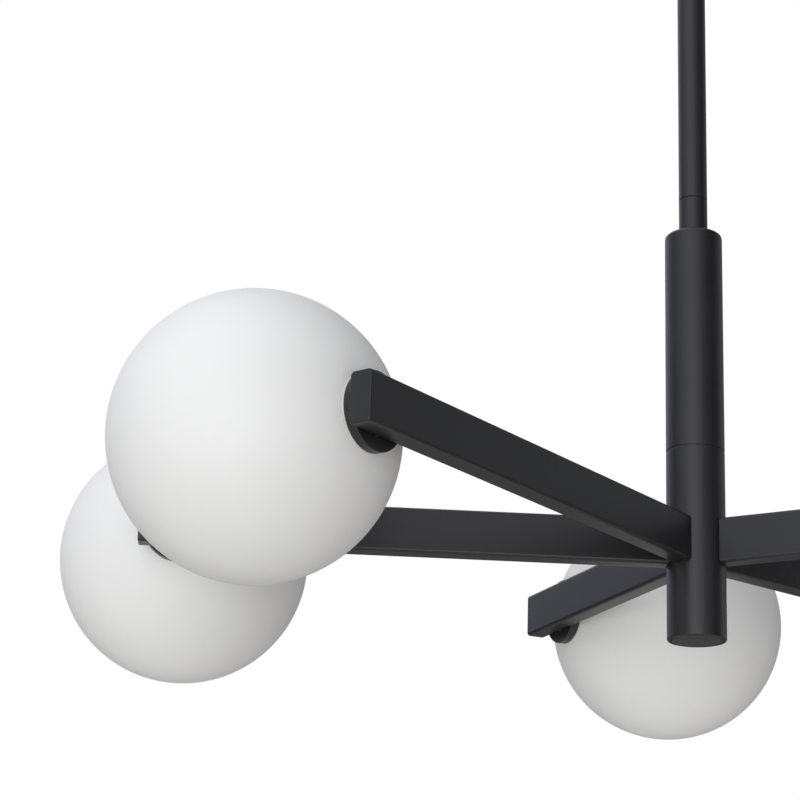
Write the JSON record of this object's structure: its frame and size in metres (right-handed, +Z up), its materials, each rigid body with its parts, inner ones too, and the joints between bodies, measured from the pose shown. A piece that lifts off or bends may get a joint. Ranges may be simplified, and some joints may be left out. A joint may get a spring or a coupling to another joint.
{
  "type": "branch chandelier",
  "caption": "Rod-hung branch chandelier: slim round column, flat bars fanned out at one level, each with an opal glass globe screwed to its side near the end.",
  "frame": {"origin": "centre of the bracket's two ceiling slots, on the ceiling plane", "axes": "+Z up into the ceiling and along the rod; +X along the bracket, to the right of someone who faces the lamp's front; +Y away from them"},
  "size_m": [0.6935, 0.5288, 0.694],
  "materials": {
    "black_powder_coat": "matt black powder coat on steel",
    "zinc_plated_steel": "bright zinc plate",
    "brass": "turned, plain",
    "opal_glass": "opal white, satin etched outside",
    "capsule_glass": "frosted",
    "holder_ceramic": "unglazed white steatite",
    "terminal_plastic": "moulded, matt",
    "silicone": "translucent pale yellow",
    "lead_sheath": "smooth black sheath"
  },
  "bodies": {
    "ceiling_set": {"ceiling_bracket": "zinc_plated_steel", "rod_locknut": "zinc_plated_steel", "toothed_washer": "zinc_plated_steel", "top_nipple": "brass", "terminal_block": "terminal_plastic", "earth_screw": "brass", "upper_rod": "black_powder_coat", "rod_coupler": "brass", "lower_rod": "black_powder_coat", "swivel_stud": "brass", "swivel_nut": "zinc_plated_steel", "rod_lead": "lead_sheath"},
    "canopy_set": {"canopy": "black_powder_coat", "canopy_collar": "black_powder_coat", "collar_nut": "zinc_plated_steel", "collar_grub_screw": "zinc_plated_steel"},
    "lamp": {"ferrule": "black_powder_coat", "barrel": "black_powder_coat", "joining_plug": "brass", "hub": "black_powder_coat", "hub_cap": "black_powder_coat", "terminal_puck": "terminal_plastic", "arm_leads": "lead_sheath", "holder_screws": "zinc_plated_steel", "arm_1": "black_powder_coat", "arm_2": "black_powder_coat", "arm_3": "black_powder_coat", "arm_4": "black_powder_coat", "arm_5": "black_powder_coat", "end_plug_1": "black_powder_coat", "end_plug_2": "black_powder_coat", "end_plug_3": "black_powder_coat", "end_plug_4": "black_powder_coat", "end_plug_5": "black_powder_coat", "fitter_cup_1": "black_powder_coat", "fitter_cup_2": "black_powder_coat", "fitter_cup_3": "black_powder_coat", "fitter_cup_4": "black_powder_coat", "fitter_cup_5": "black_powder_coat", "lamp_holder_1": "holder_ceramic", "lamp_holder_2": "holder_ceramic", "lamp_holder_3": "holder_ceramic", "lamp_holder_4": "holder_ceramic", "lamp_holder_5": "holder_ceramic"},
    "seal_1": {"seal_1": "silicone"},
    "globe_1": {"globe_1": "opal_glass"},
    "bulb_1": {"bulb_1": "capsule_glass"},
    "seal_2": {"seal_2": "silicone"},
    "globe_2": {"globe_2": "opal_glass"},
    "bulb_2": {"bulb_2": "capsule_glass"},
    "seal_3": {"seal_3": "silicone"},
    "globe_3": {"globe_3": "opal_glass"},
    "bulb_3": {"bulb_3": "capsule_glass"},
    "seal_4": {"seal_4": "silicone"},
    "globe_4": {"globe_4": "opal_glass"},
    "bulb_4": {"bulb_4": "capsule_glass"},
    "seal_5": {"seal_5": "silicone"},
    "globe_5": {"globe_5": "opal_glass"},
    "bulb_5": {"bulb_5": "capsule_glass"}
  },
  "joints": [
    {"name": "canopy_slide", "type": "slide", "parent": "ceiling_set", "child": "canopy_set", "axis": [0, 0, -1], "range_m": [0, 0.37]},
    {"name": "lamp_turn", "type": "hinge", "parent": "ceiling_set", "child": "lamp", "pos_m": [0, 0, -0.422], "axis": [0, 0, 1], "range_deg": [-170, 170]},
    {"name": "globe_1_travel", "type": "slide", "parent": "lamp", "child": "seal_1", "axis": [-0.866, 0.5, 0], "range_m": [0, 0.0045]},
    {"name": "globe_1_unscrew", "type": "hinge", "parent": "seal_1", "child": "globe_1", "pos_m": [-0.20591, -0.19751, -0.624], "axis": [-0.866, 0.5, 0], "range_deg": [0, 540]},
    {"name": "bulb_1_pull", "type": "slide", "parent": "lamp", "child": "bulb_1", "axis": [-0.866, 0.5, 0], "range_m": [0, 0.008]},
    {"name": "globe_2_travel", "type": "slide", "parent": "lamp", "child": "seal_2", "axis": [-0.1736, 0.9848, 0], "range_m": [0, 0.0045]},
    {"name": "globe_2_unscrew", "type": "hinge", "parent": "seal_2", "child": "globe_2", "pos_m": [-0.28858, 0.02991, -0.624], "axis": [-0.1736, 0.9848, 0], "range_deg": [0, 540]},
    {"name": "bulb_2_pull", "type": "slide", "parent": "lamp", "child": "bulb_2", "axis": [-0.1736, 0.9848, 0], "range_m": [0, 0.008]},
    {"name": "globe_3_travel", "type": "slide", "parent": "lamp", "child": "seal_3", "axis": [0.866, 0.5, 0], "range_m": [0, 0.0045]},
    {"name": "globe_3_unscrew", "type": "hinge", "parent": "seal_3", "child": "globe_3", "pos_m": [-0.01859, 0.19134, -0.624], "axis": [0.866, 0.5, 0], "range_deg": [0, 540]},
    {"name": "bulb_3_pull", "type": "slide", "parent": "lamp", "child": "bulb_3", "axis": [0.866, 0.5, 0], "range_m": [0, 0.008]},
    {"name": "globe_4_travel", "type": "slide", "parent": "lamp", "child": "seal_4", "axis": [-0.3665, -0.9304, 0], "range_m": [0, 0.0045]},
    {"name": "globe_4_unscrew", "type": "hinge", "parent": "seal_4", "child": "globe_4", "pos_m": [0.24903, -0.18361, -0.624], "axis": [-0.3665, -0.9304, 0], "range_deg": [0, 540]},
    {"name": "bulb_4_pull", "type": "slide", "parent": "lamp", "child": "bulb_4", "axis": [-0.3665, -0.9304, 0], "range_m": [0, 0.008]},
    {"name": "globe_5_travel", "type": "slide", "parent": "lamp", "child": "seal_5", "axis": [0.7193, -0.6947, 0], "range_m": [0, 0.0045]},
    {"name": "globe_5_unscrew", "type": "hinge", "parent": "seal_5", "child": "globe_5", "pos_m": [0.26494, 0.15981, -0.624], "axis": [0.7193, -0.6947, 0], "range_deg": [0, 540]},
    {"name": "bulb_5_pull", "type": "slide", "parent": "lamp", "child": "bulb_5", "axis": [0.7193, -0.6947, 0], "range_m": [0, 0.008]}
  ],
  "couplings": [
    {"joint": "globe_1_travel", "follows": "globe_1_unscrew", "m_per_rad": 0.00047746},
    {"joint": "globe_2_travel", "follows": "globe_2_unscrew", "m_per_rad": 0.00047746},
    {"joint": "globe_3_travel", "follows": "globe_3_unscrew", "m_per_rad": 0.00047746},
    {"joint": "globe_4_travel", "follows": "globe_4_unscrew", "m_per_rad": 0.00047746},
    {"joint": "globe_5_travel", "follows": "globe_5_unscrew", "m_per_rad": 0.00047746}
  ]
}
